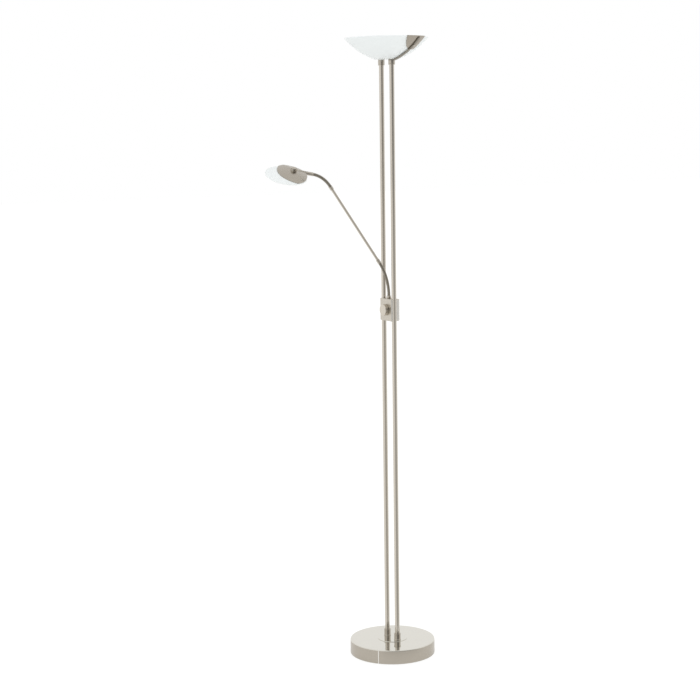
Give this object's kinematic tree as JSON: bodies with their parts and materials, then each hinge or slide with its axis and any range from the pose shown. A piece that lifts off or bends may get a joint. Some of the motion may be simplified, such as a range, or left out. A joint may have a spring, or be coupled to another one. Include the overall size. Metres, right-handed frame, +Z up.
{
  "type": "torchiere floor lamp with reading light",
  "caption": "Tall twin-pole floor lamp with an upward frosted glass bowl, a round weighted base, and a flexible reading light on a clamp with a dimmer knob.",
  "frame": {"origin": "middle of the underside of the base, on the floor", "axes": "+Z up along the poles; the poles stand along X; -Y is the front, where the knob and the reading arm point"},
  "size_m": [0.25, 0.5197, 1.8],
  "materials": {
    "satin_steel": "satin nickel plated",
    "plain_steel": "zinc plated",
    "cast_iron": "raw casting",
    "felt": "felt",
    "rubber": "matt",
    "silicone": "clear silicone",
    "brass": "turned",
    "frosted_glass": "frosted white",
    "aluminium": "plain",
    "circuit_board": "white solder mask",
    "led": "phosphor",
    "opal_plastic": "opal",
    "black_plastic": "moulded",
    "lead_sheath": "smooth sheath"
  },
  "bodies": {
    "lamp": {"base_cover": "satin_steel", "base_disc": "satin_steel", "base_pad": "felt", "base_weight": "cast_iron", "bowl_gaskets": "silicone", "bowl_glass": "frosted_glass", "bowl_lead": "lead_sheath", "bowl_spacer": "satin_steel", "bowl_studs": "plain_steel", "bracket_bar": "satin_steel", "bracket_leaf": "satin_steel", "bracket_rivets": "satin_steel", "cable_gland": "rubber", "clamp_back": "satin_steel", "clamp_front": "satin_steel", "clamp_screws": "plain_steel", "dimmer_body": "black_plastic", "dimmer_nut": "plain_steel", "foot_collars": "satin_steel", "foot_nuts": "plain_steel", "foot_studs": "plain_steel", "foot_washers": "plain_steel", "lamp_board": "circuit_board", "lamp_diffuser": "opal_plastic", "lamp_leds": "led", "lamp_nuts": "plain_steel", "lamp_pan": "aluminium", "mains_lead": "lead_sheath", "pole_bushes": "brass", "pole_joiners": "plain_steel", "pole_lower_left": "satin_steel", "pole_lower_right": "satin_steel", "pole_upper_left": "satin_steel", "pole_upper_right": "satin_steel", "top_collars": "satin_steel"},
    "knob": {"dimmer_knob": "satin_steel", "dimmer_shaft": "satin_steel"},
    "arm_foot": {"arm_swivel": "satin_steel", "flex_low_1": "satin_steel"},
    "low_bend_2": {"flex_low_2": "satin_steel"},
    "tube": {"flex_low_3": "satin_steel", "arm_tube": "satin_steel", "arm_ferrules": "satin_steel", "flex_top_1": "satin_steel"},
    "top_bend_2": {"flex_top_2": "satin_steel"},
    "top_bend_3": {"flex_top_3": "satin_steel"},
    "neck": {"flex_top_4": "satin_steel", "neck_ferrule": "satin_steel"},
    "head": {"head_cover": "satin_steel", "head_glass": "frosted_glass", "head_plate": "aluminium", "head_board": "circuit_board", "head_leds": "led", "head_bezel": "satin_steel", "head_screws": "satin_steel"},
    "button": {"head_button": "satin_steel"}
  },
  "joints": [
    {"name": "dimmer_turn", "type": "hinge", "parent": "lamp", "child": "knob", "pos_m": [0, 0, 1.025], "axis": [0, -1, 0], "range_deg": [0, 270]},
    {"name": "arm_swivel", "type": "hinge", "parent": "lamp", "child": "arm_foot", "pos_m": [0, 0, 1.057], "axis": [0, 0, 1], "range_deg": [-55, 55]},
    {"name": "low_bend_1", "type": "hinge", "parent": "arm_foot", "child": "low_bend_2", "pos_m": [0, -0.00357, 1.09942], "axis": [1, 0, 0], "range_deg": [-12, 24]},
    {"name": "low_bend_2", "type": "hinge", "parent": "low_bend_2", "child": "tube", "pos_m": [0, -0.01411, 1.13206], "axis": [1, 0, 0], "range_deg": [-12, 24]},
    {"name": "top_bend_1", "type": "hinge", "parent": "tube", "child": "top_bend_2", "pos_m": [0, -0.20381, 1.3984], "axis": [1, 0, 0], "range_deg": [-14, 14]},
    {"name": "top_bend_2", "type": "hinge", "parent": "top_bend_2", "child": "top_bend_3", "pos_m": [0, -0.21723, 1.40874], "axis": [1, 0, 0], "range_deg": [-14, 14]},
    {"name": "top_bend_3", "type": "hinge", "parent": "top_bend_3", "child": "neck", "pos_m": [0, -0.23239, 1.41632], "axis": [1, 0, 0], "range_deg": [-14, 14]},
    {"name": "head_roll", "type": "hinge", "parent": "neck", "child": "head", "pos_m": [0, -0.2694, 1.4245], "axis": [0, -0.9848, 0.1736], "range_deg": [-60, 110]},
    {"name": "reading_switch", "type": "slide", "parent": "head", "child": "button", "axis": [-0.4035, 0.0319, -0.9144], "range_m": [0, 0.0015], "stiffness_N_per_m": 300}
  ],
  "couplings": [
    {"joint": "low_bend_2", "follows": "low_bend_1", "ratio": 1},
    {"joint": "top_bend_2", "follows": "top_bend_1", "ratio": 1},
    {"joint": "top_bend_3", "follows": "top_bend_1", "ratio": 1}
  ]
}
